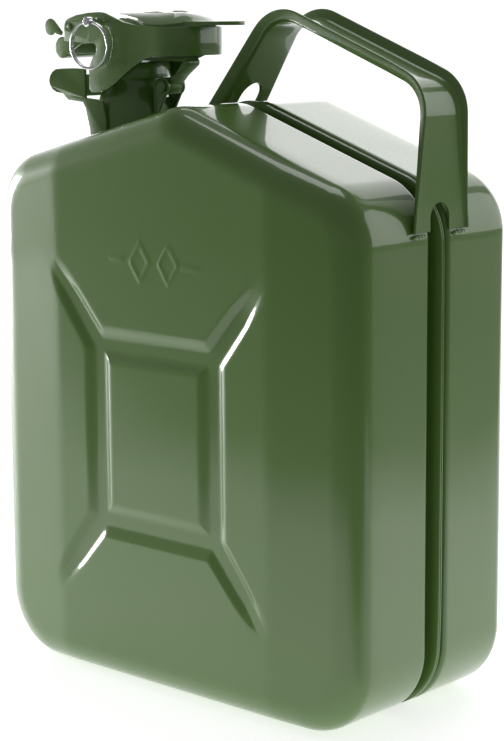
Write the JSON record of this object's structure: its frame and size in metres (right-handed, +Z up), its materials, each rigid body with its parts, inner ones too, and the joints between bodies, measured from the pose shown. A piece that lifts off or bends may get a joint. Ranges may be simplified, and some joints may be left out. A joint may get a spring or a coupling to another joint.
{
  "type": "jerry can",
  "caption": "Pressed steel jerry can with a bar handle, a neck on the roof's outer slope and a lever-locked hinged cap with a ring pin.",
  "frame": {"origin": "centre of the bounding box in plan, at the plane the can stands on", "axes": "+Z up, +X along the can's width from the neck towards the handle's outer foot, +Y towards the rear pressed half"},
  "size_m": [0.2344, 0.118, 0.3139],
  "materials": {
    "green_enamel": "gloss olive green enamel",
    "chrome_plate": "bright plated",
    "black_rubber": "matt",
    "plain_steel": "bare drawn tube"
  },
  "bodies": {
    "body": {"front_shell": "green_enamel", "rear_shell": "green_enamel", "neck_tube": "green_enamel", "vent_tube": "plain_steel", "handle": "green_enamel", "front_weld": "green_enamel", "rear_weld": "green_enamel", "front_claw": "green_enamel", "rear_bracket": "green_enamel", "hinge_pin": "green_enamel"},
    "cap_group": {"cap": "green_enamel", "gasket": "black_rubber", "cap_rivet": "green_enamel", "hinge_arm": "green_enamel", "pivot_bracket": "green_enamel", "pivot_pin": "green_enamel"},
    "lever_group": {"lever": "green_enamel", "top_plate": "green_enamel", "cross_bar": "green_enamel", "paddle": "green_enamel", "plate_rivet": "green_enamel"},
    "lock_pin_group": {"lock_pin": "chrome_plate"},
    "ring_group": {"pull_ring": "chrome_plate"}
  },
  "joints": [
    {"name": "cap_hinge", "type": "hinge", "parent": "body", "child": "cap_group", "pos_m": [-0.04773, 0, 0.278], "axis": [0, 1, 0], "range_deg": [0, 78]},
    {"name": "lever_lift", "type": "hinge", "parent": "cap_group", "child": "lever_group", "pos_m": [-0.09603, 0, 0.3062], "axis": [0, -1, 0], "range_deg": [0, 78]},
    {"name": "lock_pin_slide", "type": "slide", "parent": "lever_group", "child": "lock_pin_group", "axis": [0, -1, 0], "range_m": [0, 0.012]},
    {"name": "ring_swing", "type": "hinge", "parent": "lock_pin_group", "child": "ring_group", "pos_m": [-0.07803, -0.0239, 0.3084], "axis": [-1, 0, 0], "range_deg": [0, 100]}
  ],
  "couplings": [
    {"joint": "lever_lift", "follows": "cap_hinge", "ratio": 1}
  ]
}
